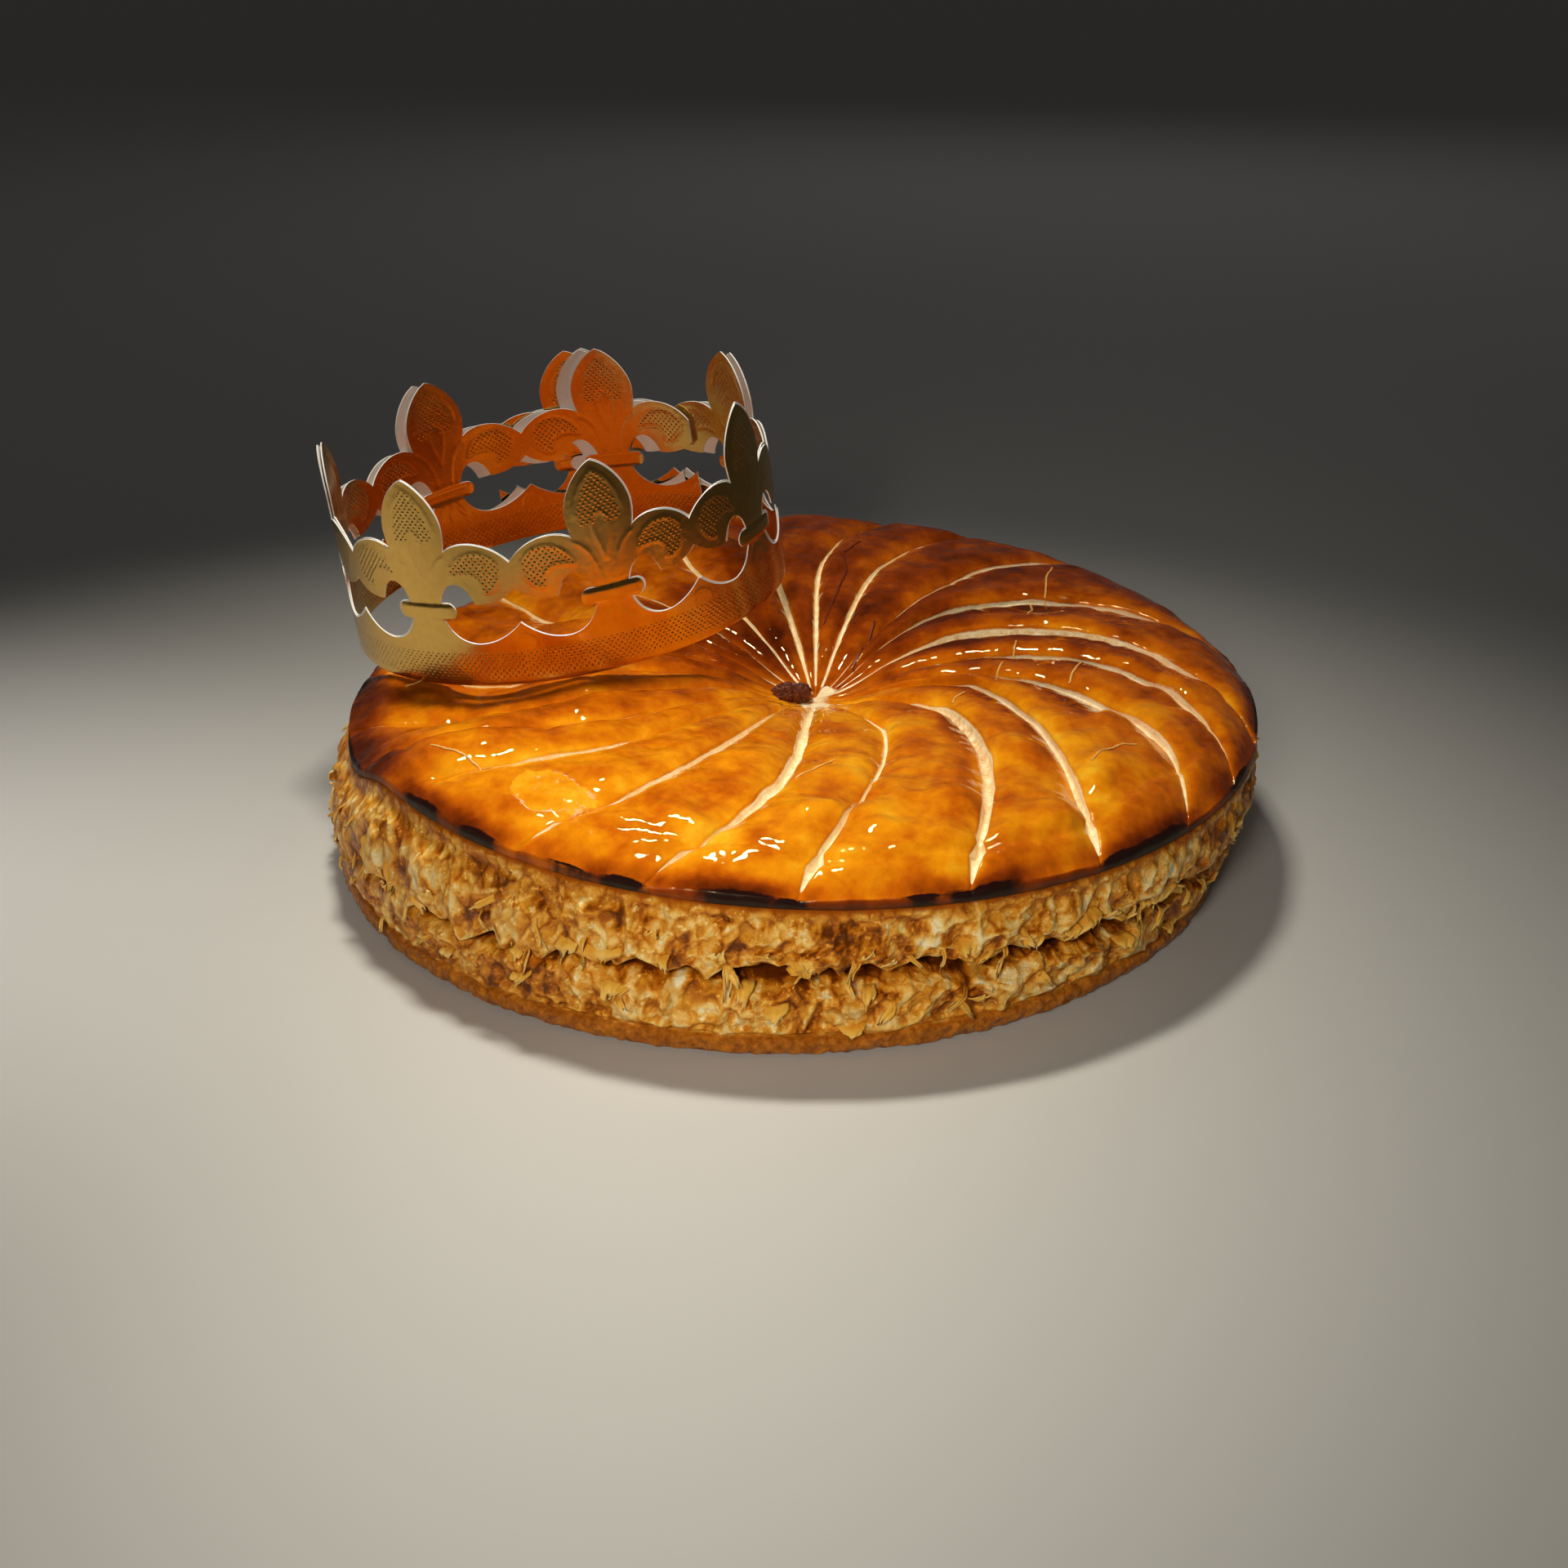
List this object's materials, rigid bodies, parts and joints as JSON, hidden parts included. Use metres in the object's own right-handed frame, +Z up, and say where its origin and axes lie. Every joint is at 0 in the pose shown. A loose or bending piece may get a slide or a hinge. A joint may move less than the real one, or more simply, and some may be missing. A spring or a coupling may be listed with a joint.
{
  "type": "galette des rois",
  "caption": "Round puff-pastry kings' cake with a spiral of slashes in its glazed top, a flaky layered side and a gold card crown resting on it.",
  "frame": {"origin": "centre of the flat underside", "axes": "+Z up out of the glazed top, -Y towards the front of the cake, with the crown on its left side (-X)"},
  "size_m": [0.2597, 0.255, 0.1166],
  "materials": {
    "pastry": "egg-washed puff pastry, glossy golden brown on top, dry cream-coloured flakes at the side",
    "filling": "dark baked almond filling, granular",
    "gold_card": "embossed gold foil on both faces of thin white card"
  },
  "bodies": {
    "root": {"galette": "pastry", "vent_filling": "filling", "crown": "gold_card"}
  },
  "joints": []
}
